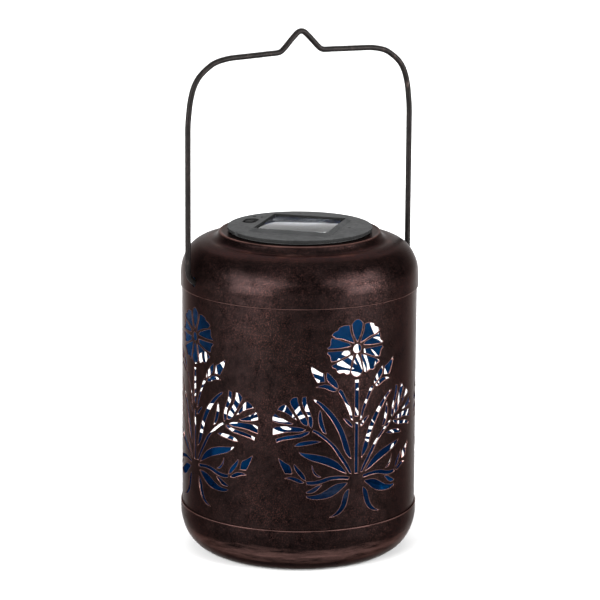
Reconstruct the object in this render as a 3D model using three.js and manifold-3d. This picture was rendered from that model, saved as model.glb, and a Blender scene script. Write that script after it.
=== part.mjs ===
// Solar garden lantern: sheet-metal drum with cut-out flower bouquets, domed lid, wire bail,
// and a lift-out solar light module that drops into the lid's neck.
// Millimetres, +Z up, origin at the centre of the base. X is the bail's hinge axis.
import * as THREE from "three";
import { mergeVertices } from "three/addons/utils/BufferGeometryUtils.js";
import Module from "manifold-3d";

const wasm = await Module();
wasm.setup();

// ---- driving dimensions ----
const SHEET = 0.6; // sheet-metal thickness
const DRUM_R = 80; // outer radius of the lid's and pan's lips
const SLEEVE_R = 79.1; // outer radius of the drum sleeve, inside both lips
const PAN_RIM_Z = 31.5; // top edge of the bottom pan
const LID_RIM_Z = 181.7; // bottom edge of the lid
const SLEEVE_Z = [25, 186]; // sleeve's bottom and top edge, inside the lips
const MOTIF_Z = 58.5; // height of the motif's datum above the base
const MOTIFS = 4; // bouquets around the drum
const LEDGE_Z = 218; // top of the neck's ledge
const RING_R = 54.2; // outer radius of the ledge
const NECK_R = 44.6; // inner radius of the neck
const SEGMENTS = 40; // facets of the sheet-metal rounds

const WIRE_R = 1.9; // bail wire
const LEG_X = 84.2; // centre of the bail's legs
const HINGE_Z = 190.4; // height of the hinge holes
const HINGE_HOLE_R = 2.7;
const FOOT_R = 9.6; // bend that turns each leg into its hole
const BAR_Z = 338; // bar's centre height where the corners end
const BAR_RISE = 1.1; // rise of the bar from corner to hook
const HOOK_H = 13.5; // height of the hanging hook

const DISC_R = 48.6; // module's top disc
const DISC_Z = [219, 221];
const BEZEL_OUT = 57; // raised frame around the panel
const BEZEL_IN = 50.4;
const BEZEL_H = 1.9;
const CUP_R = 42.5; // module's cup
const CUP_WALL = 1.5;
const CUP_Z = [192, 218.9];
const MODULE_TURN = -Math.PI / 4;
const SWITCH_AT = [-36.4, 6.0]; // switch recess, in the module's own frame
const CELL_R = 7.1; // AA cell
const CELL_LEN = 47;
const CELL_AT = [0, -17.5, 202];
const BOARD = { w: 36, d: 25, t: 1.6, y: 15, z: 206 };
const SCREW_POSTS = [[31, 15], [-22.5, 29], [0, -33.5]];
const COVER_SCREWS_X = 32.2;

// Half of one bouquet: [distance from its centre line along the wall, height above its datum].
const HALF_MOTIF = [
  [[2.3, 99], [5.6, 111.2], [13.2, 110.2], [18, 105.4]],
  [[4.8, 97.2], [18.6, 103.4], [21.2, 96.6]],
  [[5, 93.6], [21, 94], [18.6, 87.6]],
  [[3, 90.8], [18, 84.7], [13.6, 79.7], [5.4, 78.5]],
  [[13.2, 67.2], [11.6, 68.4], [6.6, 59.5], [3.1, 47], [4.6, 49.5], [9.6, 61]],
  [[9.8, 48.7], [4.2, 45.2], [3, 42.2], [6, 44.4]],
  [[31.9, 84.9], [23.6, 80.2], [22.6, 74.3], [27.5, 73.9]],
  [[21.3, 80.4], [15.2, 74.6], [13.8, 69.4], [19.6, 73]],
  [[27.6, 70.9], [22, 72.3], [14.6, 68], [19, 68.2]],
  [[30, 62.8], [21.5, 57.2], [11.5, 44.5], [5.2, 28], [4.2, 20.9], [9.6, 29.5], [16, 45], [24.5, 57]],
  [[25.7, 55.2], [23.6, 46.5], [21.3, 38.9], [25, 42.3], [26.9, 50.5]],
  [[30, 42.2], [20, 35.1], [11.3, 25], [3.4, 10.6], [4.8, 10.6], [14, 25], [21, 33.8], [30.4, 41]],
  [[42.4, 31.2], [36, 34.2], [25.2, 33.9], [34, 31.8]],
  [[31.4, 43.4], [33.3, 50], [37.4, 64.2], [35, 64.8], [32.4, 54], [30.6, 47]],
  [[34.3, 45], [38.7, 48.5], [45.4, 61.4], [40.8, 64.2], [38.5, 55.5], [34.4, 48]],
  [[41.4, 49.3], [53.8, 55.4], [49.3, 59.2], [44, 52.8]],
  [[43.7, 46.3], [56.9, 47.3], [55.4, 52.4]],
  [[35.4, 42.3], [44, 44.2], [56.9, 43.1], [56.9, 38.4], [45, 40.8]],
  [[33, 40.9], [42, 38.8], [54.8, 35.4], [53.9, 33.3], [40, 36.8]],
  [[39.3, 26.9], [27, 24.9], [15, 20], [7.2, 10.8], [16, 15.3], [30, 20.8]],
  [[31, 18], [28.4, 12.8], [25, 9.9], [29.6, 12.2]],
  [[34.7, 7], [25.5, 7.9], [16, 9.7], [5.2, 8.2], [5.6, 6.7], [16, 7.5], [24, 5.5], [34.2, 5.1]],
  [[53.2, 22.6], [44.9, 17], [44.2, 12.2], [48.7, 12.3]],
  [[42.6, 18.8], [36.2, 11.4], [35.3, 7.9], [41, 13.5]],
  [[48.6, 9], [42.5, 9.8], [36.4, 6.2], [41, 6.7]],
  [[34.6, 0.2], [24.3, 4.2], [28.5, -0.1], [33.6, -1.1]],
  [[34.6, -3.1], [24, -0.8], [14, 4.2], [6.6, 4.2], [14, -2.2], [27, -5.4]],
  [[5.3, -0.1], [6.5, -8.5], [10.5, -15.3], [18.8, -18], [12, -12.5], [9.3, -3.8]],
];
// Openings that lie on the bouquet's centre line: two petals, the flower's eye, two stem slots.
const CENTRE_MOTIF = [
  [[0, 99.8], [4.1, 111.6], [0, 114.6], [-4.1, 111.6]],
  [[0, 91.6], [-4.3, 79.6], [0, 76.2], [4.3, 79.6]],
  ring(3, 8).map(([x, y]) => [x, y + 95]),
  [[-1.5, 49.6], [1.5, 49.6], [1.5, 73.9], [-1.5, 73.9]],
  [[-1.2, 10.3], [1.2, 10.3], [1.2, 44.9], [-1.2, 44.9]],
];

// ---- helpers ----
function ring(radius, count, turn = 0) {
  const points = [];
  for (let i = 0; i < count; i += 1) {
    const a = turn + (2 * Math.PI * i) / count;
    points.push([radius * Math.cos(a), radius * Math.sin(a)]);
  }
  return points;
}

function signedVolume(position, index) {
  const [a, b, c] = [new THREE.Vector3(), new THREE.Vector3(), new THREE.Vector3()];
  let sum = 0;
  for (let i = 0; i < index.count; i += 3) {
    a.fromBufferAttribute(position, index.getX(i));
    b.fromBufferAttribute(position, index.getX(i + 1));
    c.fromBufferAttribute(position, index.getX(i + 2));
    sum += a.dot(b.cross(c));
  }
  return sum;
}

// A closed three.js geometry as a manifold solid, turned to face outward.
function body(geometry) {
  const plain = new THREE.BufferGeometry();
  plain.setAttribute("position", geometry.getAttribute("position"));
  plain.setIndex(geometry.getIndex());
  const merged = mergeVertices(plain, 1e-4);
  const triangles = Uint32Array.from(merged.index.array);
  if (signedVolume(merged.attributes.position, merged.index) < 0) {
    for (let i = 0; i < triangles.length; i += 3) {
      [triangles[i], triangles[i + 1]] = [triangles[i + 1], triangles[i]];
    }
  }
  const vertProperties = Float32Array.from(merged.attributes.position.array);
  return new wasm.Manifold(new wasm.Mesh({ numProp: 3, vertProperties, triVerts: triangles }));
}

function toGeometry(solid) {
  const mesh = solid.getMesh();
  const geometry = new THREE.BufferGeometry();
  geometry.setAttribute("position", new THREE.BufferAttribute(mesh.vertProperties, 3));
  geometry.setIndex(new THREE.BufferAttribute(mesh.triVerts, 1));
  geometry.computeVertexNormals();
  return geometry;
}

// Solid of revolution about Z from a closed [radius, z] loop.
function turned(loop, segments = SEGMENTS) {
  const closed = [...loop, loop[0]].map(([r, z]) => new THREE.Vector2(r, z));
  const geometry = new THREE.LatheGeometry(closed, segments);
  geometry.rotateX(Math.PI / 2);
  return body(geometry);
}

// Straight prism from an [x, y] outline between two heights.
function prism(outline, z0, z1) {
  const shape = new THREE.Shape(outline.map(([x, y]) => new THREE.Vector2(x, y)));
  const geometry = new THREE.ExtrudeGeometry(shape, { depth: z1 - z0, bevelEnabled: false });
  geometry.translate(0, 0, z0);
  return body(geometry);
}

function disc(x, y, radius, z0, z1, count = 16) {
  return prism(ring(radius, count).map(([a, b]) => [a + x, b + y]), z0, z1);
}

function box(x, y, z, w, d, h) {
  const geometry = new THREE.BoxGeometry(w, d, h);
  geometry.translate(x, y, z);
  return body(geometry);
}

function rodX(radius, x0, x1, y, z, count = 20) {
  return prism(ring(radius, count), x0, x1).rotate([0, 90, 0]).translate([0, y, z]);
}

function obround(x, y, width, length, steps = 8) {
  const r = width / 2;
  const half = length / 2 - r;
  const points = [];
  for (let side = 0; side < 2; side += 1) {
    for (let i = 0; i <= steps; i += 1) {
      const a = Math.PI * (side + i / steps);
      points.push([x + r * Math.cos(a), y + r * Math.sin(a) + (side === 0 ? half : -half)]);
    }
  }
  return points;
}

// Closed loop of a sheet: the outer profile, and the same profile moved inward by the thickness.
function sheetLoop(outer, thickness) {
  const inner = outer.map(([r, z], i) => {
    const before = outer[Math.max(i - 1, 0)];
    const after = outer[Math.min(i + 1, outer.length - 1)];
    const length = Math.hypot(after[0] - before[0], after[1] - before[1]);
    const nr = -(after[1] - before[1]) / length;
    const nz = (after[0] - before[0]) / length;
    return [r + nr * thickness, z + nz * thickness];
  });
  return [...outer, ...inner.reverse()];
}

// A wire bent through stations: one ring of the section per station.
class Bent extends THREE.Curve {
  constructor(points) {
    super();
    this.points = points;
  }
  getPoint(t) {
    const at = Math.min(t, 1) * (this.points.length - 1);
    const i = Math.min(Math.floor(at), this.points.length - 2);
    return this.points[i].clone().lerp(this.points[i + 1], at - i);
  }
  getPointAt(u) {
    return this.getPoint(u);
  }
  getTangentAt(u) {
    const last = this.points.length - 1;
    const i = Math.round(u * last);
    const before = this.points[Math.max(i - 1, 0)];
    const here = this.points[i];
    const after = this.points[Math.min(i + 1, last)];
    const a = here.clone().sub(before).normalize();
    const b = after.clone().sub(here).normalize();
    return a.add(b).normalize();
  }
}

function wire(stations, radius, count) {
  const path = new Bent(stations.map(([x, y, z]) => new THREE.Vector3(x, y, z)));
  const section = new THREE.Shape(ring(radius, count).map(([x, y]) => new THREE.Vector2(x, y)));
  const steps = stations.length - 1;
  return body(new THREE.ExtrudeGeometry(section, { steps, extrudePath: path, bevelEnabled: false }));
}

const materials = {
  bronze: new THREE.MeshStandardMaterial({ color: 0x3a2a25, metalness: 0.8, roughness: 0.45 }),
  wire: new THREE.MeshStandardMaterial({ color: 0x2e2826, metalness: 0.7, roughness: 0.4 }),
  black: new THREE.MeshStandardMaterial({ color: 0x26272a, metalness: 0, roughness: 0.6 }),
  rubber: new THREE.MeshStandardMaterial({ color: 0x141414, metalness: 0, roughness: 0.9 }),
  cell: new THREE.MeshStandardMaterial({ color: 0x2f7d45, metalness: 0.1, roughness: 0.5 }),
  solar: new THREE.MeshStandardMaterial({ color: 0x10182e, metalness: 0.2, roughness: 0.25 }),
  clear: new THREE.MeshStandardMaterial({ color: 0xb9c0c6, transparent: true, opacity: 0.4 }),
  board: new THREE.MeshStandardMaterial({ color: 0x1f5a35, metalness: 0, roughness: 0.6 }),
  steel: new THREE.MeshStandardMaterial({ color: 0xb6b6b2, metalness: 1, roughness: 0.3 }),
  lamp: new THREE.MeshStandardMaterial({ color: 0xf4ecd2, transparent: true, opacity: 0.7 }),
  red: new THREE.MeshStandardMaterial({ color: 0xa02020, metalness: 0, roughness: 0.6 }),
};

function add(group, name, solid, material) {
  const mesh = new THREE.Mesh(toGeometry(solid), materials[material].clone());
  mesh.name = name;
  group.add(mesh);
  return mesh;
}

// ---- lantern shell ----
function cutter(outline, turn) {
  const contour = outline.map(([u, v]) => new THREE.Vector2(u, v));
  const faces = THREE.ShapeUtils.triangulateShape(contour, []);
  const count = outline.length;
  const middle = turn + outline.reduce((sum, [u]) => sum + u, 0) / count / SLEEVE_R;
  const position = [];
  for (const depth of [-7, 7]) {
    for (const [u, v] of outline) {
      const a = turn + u / SLEEVE_R;
      const x = SLEEVE_R * Math.sin(a) + depth * Math.sin(middle);
      const y = -SLEEVE_R * Math.cos(a) - depth * Math.cos(middle);
      position.push(x, y, v + MOTIF_Z);
    }
  }
  const index = [];
  for (const [a, b, c] of faces) {
    index.push(a, c, b, a + count, b + count, c + count);
  }
  for (let i = 0; i < count; i += 1) {
    const j = (i + 1) % count;
    index.push(i, j, j + count, i, j + count, i + count);
  }
  const geometry = new THREE.BufferGeometry();
  geometry.setAttribute("position", new THREE.Float32BufferAttribute(position, 3));
  geometry.setIndex(index);
  return body(geometry);
}

function counterClockwise(outline) {
  const contour = outline.map(([u, v]) => new THREE.Vector2(u, v));
  return THREE.ShapeUtils.isClockWise(contour) ? [...outline].reverse() : outline;
}

function sleeve() {
  const [z0, z1] = SLEEVE_Z;
  const wall = SLEEVE_R - SHEET;
  const tube = turned([[SLEEVE_R, z0], [SLEEVE_R, z1], [wall, z1], [wall, z0]]);
  const outlines = [...CENTRE_MOTIF, ...HALF_MOTIF];
  for (const outline of HALF_MOTIF) {
    outlines.push(outline.map(([u, v]) => [-u, v]));
  }
  const cutters = [];
  for (let i = 0; i < MOTIFS; i += 1) {
    const turn = (2 * Math.PI * i) / MOTIFS;
    for (const outline of outlines) {
      cutters.push(cutter(counterClockwise(outline), turn));
    }
  }
  return tube.subtract(wasm.Manifold.union(cutters));
}

function pan() {
  const outer = [
    [0, 0], [62, 0], [66.5, 1.2], [70.5, 4], [74.3, 8], [77.2, 13], [79.2, 19], [DRUM_R, 24],
    [DRUM_R, PAN_RIM_Z],
  ];
  const inner = [
    [DRUM_R - SHEET, PAN_RIM_Z], [DRUM_R - SHEET, 24], [78.6, 19.2], [76.6, 13.3], [73.8, 8.4],
    [70.1, 4.5], [66.3, 1.8], [61.9, SHEET], [0, SHEET],
  ];
  return turned([...outer, ...inner]);
}

function lid() {
  const outer = [
    [DRUM_R, LID_RIM_Z], [79.95, 190.8], [79, 196], [77, 201.8], [73.8, 206.7], [69.5, 210],
    [63, 212.3],
    [57.6, 213.3], [55.2, 215.3], [RING_R, LEDGE_Z - 0.6], [RING_R - 0.6, LEDGE_Z], [NECK_R - SHEET, LEDGE_Z],
    [NECK_R - SHEET, LEDGE_Z - 7],
  ];
  const inner = [
    [NECK_R, LEDGE_Z - 7], [NECK_R, LEDGE_Z - SHEET], [RING_R - SHEET - 0.3, LEDGE_Z - SHEET], [54.6, 215],
    [57.2, 212.7], [62.8, 211.7], [69.2, 209.4], [73.3, 206.3], [76.4, 201.5], [78.4, 195.8],
    [DRUM_R - SHEET, 190.7], [DRUM_R - SHEET, LID_RIM_Z],
  ];
  const shell = turned([...outer, ...inner]);
  const bore = rodX(HINGE_HOLE_R, -DRUM_R - 5, DRUM_R + 5, 0, HINGE_Z, 16);
  const core = disc(0, 0, 70, HINGE_Z - 4, HINGE_Z + 4, 24);
  return shell.subtract(bore.subtract(core));
}

// ---- bail ----
function bailStations() {
  const half = [];
  const bend = LEG_X - FOOT_R;
  const footTop = HINGE_Z + 8.1;
  for (let i = 10; i >= 0; i -= 1) {
    const a = (i * 12.5 * Math.PI) / 180;
    half.push([bend + FOOT_R * Math.cos(a), footTop - FOOT_R * Math.sin(a)]);
  }
  const corner = [
    [0, -46], [0.8, -34.5], [2.4, -24], [4.5, -17.2], [7.6, -11.8], [10.6, -8.6], [14.2, -5.7],
    [18.2, -3.1], [22.2, -1.6], [26.7, -0.6], [31.2, 0],
  ];
  half.push([LEG_X, footTop + 50]);
  for (const [inward, drop] of corner) {
    half.push([LEG_X - inward, BAR_Z + drop]);
  }
  const base = BAR_Z + BAR_RISE;
  const peak = [
    [19, 0], [16.4, 0.3], [14.6, 1.1], [12.8, 2.6], [8, 7.6], [4.2, 11.3], [2.4, 12.8], [0, HOOK_H],
  ];
  for (const [x, rise] of peak) {
    half.push([x, base + rise]);
  }
  const right = half.map(([x, z]) => [x, 0, z]);
  const left = half.slice(0, -1).reverse().map(([x, z]) => [-x, 0, z]);
  return [...right, ...left];
}

const lantern = new THREE.Group();
lantern.name = "solar_lantern";
add(lantern, "lid_shell", lid(), "bronze");
add(lantern, "body_sleeve", sleeve(), "bronze");
add(lantern, "bottom_pan", pan(), "bronze");
add(lantern, "bail_handle", wire(bailStations(), WIRE_R, 10), "wire");

// ---- light module, in its own turned frame ----
const module = new THREE.Group();
module.rotation.z = MODULE_TURN;
lantern.add(module);

function square(size) {
  const h = size / 2;
  return [[-h, -h], [h, -h], [h, h], [-h, h]];
}

function bezel() {
  const foot = square(BEZEL_OUT);
  const crest = square(BEZEL_IN + 1.6);
  const z0 = DISC_Z[1] - 0.2;
  const z1 = DISC_Z[1] + BEZEL_H;
  const position = [];
  foot.forEach(([x, y]) => position.push(x, y, z0));
  crest.forEach(([x, y]) => position.push(x, y, z1));
  const index = [0, 2, 1, 0, 3, 2, 4, 5, 6, 4, 6, 7];
  for (let i = 0; i < 4; i += 1) {
    const j = (i + 1) % 4;
    index.push(i, j, j + 4, i, j + 4, i + 4);
  }
  const geometry = new THREE.BufferGeometry();
  geometry.setAttribute("position", new THREE.Float32BufferAttribute(position, 3));
  geometry.setIndex(index);
  return body(geometry);
}

function topPlate() {
  const [z0, z1] = DISC_Z;
  const rim = [[0, z0], [DISC_R, z0], [DISC_R, z1 - 0.5], [DISC_R - 0.5, z1], [0, z1]];
  let solid = turned(rim, 64).add(bezel());
  for (const [x, y] of SCREW_POSTS) {
    solid = solid.add(disc(x, y, 3.2, z0 - 7, z0 + 0.2)).subtract(disc(x, y, 1.15, z0 - 8, z0 - 0.6, 12));
  }
  const [sx, sy] = SWITCH_AT;
  solid = solid.subtract(box(0, 0, z1 + 4, BEZEL_IN, BEZEL_IN, 10));
  solid = solid.subtract(prism(obround(sx, sy, 9.3, 16), z1 - 1.3, z1 + 1));
  solid = solid.subtract(box(sx, sy, z0, 3.2, 8.6, 6));
  solid = solid.subtract(disc(12, 6, 2, z0 - 1, z1 + 1, 12));
  const notch = disc(-37.2, -37.2, 5, z0 - 1, z1 + 1, 20);
  return solid.subtract(notch);
}

function cup() {
  const [z0, z1] = CUP_Z;
  const inner = CUP_R - CUP_WALL;
  const floor = z0 + 1.6;
  let solid = turned([[0, z0], [CUP_R, z0], [CUP_R, z1], [inner, z1], [inner, floor], [0, floor]]);
  const [, cy, cz] = CELL_AT;
  solid = solid.add(box(0, cy, floor + 8.3, 58, 18.4, 17));
  for (const [x, y] of SCREW_POSTS) {
    solid = solid.add(disc(x, y, 3.2, floor - 0.2, DISC_Z[0] - 7.2));
    solid = solid.subtract(disc(x, y, 1.7, z0 - 1, DISC_Z[0] - 7, 12));
    solid = solid.subtract(disc(x, y, 2.75, z0 - 1, z0 + 6));
  }
  for (const x of [-COVER_SCREWS_X, COVER_SCREWS_X]) {
    solid = solid.add(disc(x, cy, 2.9, floor - 0.2, floor + 7));
    solid = solid.subtract(disc(x, cy, 1.1, z0 - 1, floor + 6, 12));
  }
  for (const x of [-15, 15]) {
    solid = solid.add(disc(x, BOARD.y + 9, 2, floor - 0.2, BOARD.z - 0.1, 12));
    solid = solid.add(disc(x, BOARD.y - 9, 2, floor - 0.2, BOARD.z - 0.1, 12));
  }
  solid = solid.subtract(box(0, cy, cz - 3.5, 55.4, 15.8, 22));
  return solid.subtract(disc(0, 4, 2.8, z0 - 1, floor + 1));
}

function cell() {
  const [, y, z] = CELL_AT;
  const can = rodX(CELL_R, -CELL_LEN / 2, CELL_LEN / 2, y, z, 24);
  return can.add(rodX(2.6, CELL_LEN / 2 - 0.2, CELL_LEN / 2 + 1.4, y, z, 12));
}

function springStations() {
  const [, y, z] = CELL_AT;
  const start = -CELL_LEN / 2 - 0.7;
  const points = [];
  const turns = 3;
  for (let i = 0; i <= turns * 10; i += 1) {
    const a = (2 * Math.PI * i) / 10;
    const radius = 2.6 + (2.2 * i) / (turns * 10);
    points.push([start - (2 * i) / (turns * 10), y + radius * Math.cos(a), z + radius * Math.sin(a)]);
  }
  return points;
}

function screw(x, y, headZ, headR, shaftR, length) {
  const head = disc(x, y, headR, headZ, headZ + 1.4, 16);
  const slotA = box(x, y, headZ, 2.4, 0.6, 1.2);
  const slotB = box(x, y, headZ, 0.6, 2.4, 1.2);
  const shaft = disc(x, y, shaftR, headZ + 1.2, headZ + length, 12);
  return head.add(shaft).subtract(slotA).subtract(slotB);
}

function lamp() {
  const y = 4;
  const floor = CUP_Z[0] + 1.6;
  const dome = [
    [0, 186.6], [1.3, 187], [2.2, 188], [2.5, 189.2], [2.5, floor + 0.1], [2.9, floor + 0.1],
    [2.9, floor + 1.1], [0, floor + 1.1],
  ];
  let solid = turned(dome, 16).translate([0, y, 0]);
  for (const x of [-1.27, 1.27]) {
    solid = solid.add(disc(x, y, 0.3, floor + 1, BOARD.z + BOARD.t + 1, 8));
  }
  return solid;
}

function board() {
  const { w, d, t, z } = BOARD;
  const y = BOARD.y;
  let solid = box(0, y, z + t / 2, w, d, t);
  for (const x of [-1.27, 1.27]) {
    solid = solid.subtract(disc(x, 4, 0.5, z - 1, z + t + 1, 10));
  }
  return solid;
}

function knob() {
  const [x, y] = [SWITCH_AT[0], SWITCH_AT[1] - 2];
  const floor = DISC_Z[1] - 1.3;
  const cap = box(x, y, floor + 0.15 + 0.7, 4.8, 4.6, 1.4);
  const grooves = [-1.2, 0, 1.2].map((dy) => box(x, y + dy, floor + 1.6, 6, 0.5, 0.5));
  const stem = box(x, y, floor - 1.4, 2.4, 3.4, 3.4);
  return grooves.reduce((solid, groove) => solid.subtract(groove), cap.add(stem));
}

function switchCase() {
  const [x, y] = SWITCH_AT;
  const top = DISC_Z[0] - 0.2;
  const shell = box(x + 0.9, y, top - 2.6, 6.4, 9.6, 5.2);
  let solid = shell.subtract(box(x, y, top - 0.4, 3, 8.2, 4.6));
  for (const dy of [-2.5, 0, 2.5]) {
    solid = solid.add(box(x + 0.9, y + dy, top - 6.2, 0.5, 0.9, 2.4));
  }
  return solid;
}

function arcWire(points, radius) {
  const curve = new THREE.CatmullRomCurve3(points.map(([x, y, z]) => new THREE.Vector3(x, y, z)));
  const stations = curve.getSpacedPoints(10).map((p) => [p.x, p.y, p.z]);
  return wire(stations, radius, 6);
}

const panelZ = DISC_Z[1] - 0.92;
const boardTop = BOARD.z + BOARD.t;
add(module, "module_top", topPlate(), "black");
add(module, "module_cup", cup(), "black");
const seal = [[45, 218.05], [47.2, 218.05], [47.2, 218.95], [45, 218.95]];
add(module, "seal_ring", turned(seal, 32), "rubber");
add(module, "solar_panel", box(0, 0, DISC_Z[1] - 0.57, 49.8, 49.8, 0.7), "solar");
add(module, "panel_cover", box(0, 0, DISC_Z[1] + 0.13, 49.8, 49.8, 0.5), "clear");
add(module, "switch_case", switchCase(), "black");
add(module, "switch_knob", knob(), "black");
add(module, "circuit_board", board(), "board");
add(module, "control_chip", box(-10, BOARD.y + 4, boardTop + 0.95, 6, 5, 1.7), "black");
add(module, "choke_coil", disc(9, BOARD.y + 3, 3.2, boardTop + 0.1, boardTop + 4, 16), "rubber");
add(module, "battery_cell", cell(), "cell");
add(module, "battery_spring", wire(springStations(), 0.35, 6), "steel");
add(module, "battery_contact", box(25.7, CELL_AT[1], CELL_AT[2], 0.5, 9, 9), "steel");
const coverOutline = obround(0, 0, 18.4, 2 * COVER_SCREWS_X + 7.6).map(([a, b]) => [b, a + CELL_AT[1]]);
const coverPlate = prism(coverOutline, CUP_Z[0] - 1.5, CUP_Z[0] - 0.1);
const screwHoles = [-COVER_SCREWS_X, COVER_SCREWS_X].map((x) => disc(x, CELL_AT[1], 1.3, 188, 193, 12));
add(module, "battery_cover", screwHoles.reduce((s, h) => s.subtract(h), coverPlate), "black");
[-COVER_SCREWS_X, COVER_SCREWS_X].forEach((x, i) => {
  add(module, `cover_screw_${i + 1}`, screw(x, CELL_AT[1], CUP_Z[0] - 3.05, 2.3, 0.95, 9), "steel");
});
SCREW_POSTS.forEach(([x, y], i) => {
  add(module, `housing_screw_${i + 1}`, screw(x, y, CUP_Z[0] + 4.5, 2.4, 1, 18), "steel");
});
add(module, "led_lamp", lamp(), "lamp");
const redRun = [[12.6, 6.2, panelZ - 0.2], [12.6, 6.5, 216], [13.5, 8, 211], [14.5, 9, boardTop + 0.2]];
const blackRun = [[11.2, 5.6, panelZ - 0.2], [11, 6, 216], [8, 7, 211.5], [5, 8, boardTop + 0.2]];
add(module, "panel_wire_red", arcWire(redRun, 0.5), "red");
add(module, "panel_wire_black", arcWire(blackRun, 0.5), "rubber");

export default lantern;
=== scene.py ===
"""Looks for the solar garden lantern: fine sheet metal, wire bail and light module."""

import math

import bpy
import numpy as np
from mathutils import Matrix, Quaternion, Vector
from mathutils.geometry import delaunay_2d_cdt


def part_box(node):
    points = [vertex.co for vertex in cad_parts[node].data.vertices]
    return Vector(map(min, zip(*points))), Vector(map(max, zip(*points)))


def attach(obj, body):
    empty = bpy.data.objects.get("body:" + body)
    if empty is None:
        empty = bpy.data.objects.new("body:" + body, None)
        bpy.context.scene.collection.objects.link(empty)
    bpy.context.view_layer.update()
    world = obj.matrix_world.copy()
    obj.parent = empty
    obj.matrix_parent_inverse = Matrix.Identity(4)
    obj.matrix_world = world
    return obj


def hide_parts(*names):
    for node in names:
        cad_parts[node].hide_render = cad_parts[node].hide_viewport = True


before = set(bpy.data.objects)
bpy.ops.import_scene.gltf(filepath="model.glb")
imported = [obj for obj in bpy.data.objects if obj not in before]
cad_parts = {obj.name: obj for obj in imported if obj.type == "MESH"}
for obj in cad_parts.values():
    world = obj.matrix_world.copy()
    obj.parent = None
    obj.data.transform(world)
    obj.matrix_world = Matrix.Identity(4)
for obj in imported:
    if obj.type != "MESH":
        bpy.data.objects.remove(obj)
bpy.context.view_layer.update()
MM = 0.001

# ---- sizes in millimetres: what the frame gives, then what was read from the photo ----
lid_lo, lid_hi = [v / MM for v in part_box("lid_shell")]
sleeve_lo, sleeve_hi = [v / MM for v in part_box("body_sleeve")]
pan_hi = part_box("bottom_pan")[1] / MM
bail_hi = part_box("bail_handle")[1] / MM
SHEET = 0.6
DRUM_R = lid_hi.x
SLEEVE_R = sleeve_hi.x
LID_RIM = lid_lo.z
LEDGE = lid_hi.z
PAN_RIM = pan_hi.z
WIRE_R = bail_hi.y
LEG_X = bail_hi.x - WIRE_R - 0.02  # the last term keeps the swept wire inside the CAD's box
RING_R = 54.2
NECK_R = 44.6
HINGE_Z = LID_RIM + 8.7
HINGE_HOLE_R = 3.1  # wider than the CAD's, so the swung wire's bend clears the hole's edge
FOOT_R = 9.6
HOOK_H = 13.5
BAR_RISE = 1.1
BAR_Z = bail_hi.z - WIRE_R - HOOK_H - BAR_RISE
DISC_R = 48.6
DISC_TOP = LEDGE + 3
DISC_BOTTOM = LEDGE + 1
BEZEL_OUT = 57
BEZEL_IN = 50.4
BEZEL_H = 1.9
SWITCH_AT = (-36.4, 6.0)
RECESS_WIDTH, RECESS_LENGTH = 9.3, 16
RECESS_REACH = 8.2  # faces nearer to the recess's middle than this are its walls and floor
WIRE_HOLE_AT, LIFT_NOTCH_AT = (12, 6), (-37.2, -37.2)
MARK_Y = 19.7
PANEL_HALF = 0.988 * BEZEL_IN / 2  # the panel's plates clear the frame by a little
PANEL_Z = DISC_TOP - 0.92
STRIPS = 8
STRIP_GAP = 0.5
STRIP_SPAN, STRIP_HALF_LENGTH = 48.6, 24
SCREW_POSTS = ((31, 15), (-22.5, 29), (0, -33.5))
MODULE_TURN = math.radians(-45)
MOTIF_Z = 58.5  # height of the bouquet's datum above the base
OUTLINE_STEP = 0.8
SLEEVE_ROWS, SLEEVE_COLUMNS = 49, 40
LID_COLUMNS = 128
PAN_SEGMENTS = 192
WIRE_SIDES = 24
LARGE_FLAT = 20e-6  # square metres: a face this large is flat and is shaded flat

# Half of one bouquet: [distance from its centre line along the wall, height above its datum].
PETALS = [
    [(2.3, 98.9), (3.4, 102), (4.9, 106), (5.8, 111.1), (8.2, 111.3), (11, 110.9), (13.1, 110.1),
     (14, 108.4), (16.4, 107.4), (18.1, 105.6), (17.2, 104.6), (10, 102.2), (4.8, 99.9)],
    [(4.7, 97.2), (5.4, 98.3), (10, 100.5), (18.5, 103.5), (18.9, 101.5), (19.2, 98.6),
     (21.2, 97.1), (20.8, 96.3), (12, 96.4)],
    [(5, 94.3), (13, 94.3), (20.9, 94.3), (21.2, 93.2), (19.4, 91.5), (18.8, 89), (18.4, 87.7),
     (14.6, 88.1), (9.6, 89.9), (5.2, 91.8)],
    [(2.6, 91.1), (4.2, 90.6), (9.6, 88.5), (15.4, 86.2), (18.1, 84.9), (17.4, 83.7), (15.2, 82.6),
     (14.2, 80.6), (13, 79.6), (9.6, 79.8), (7.2, 78.4), (5.7, 78.7), (5.2, 80.6), (4.3, 85.2)],
]
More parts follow.
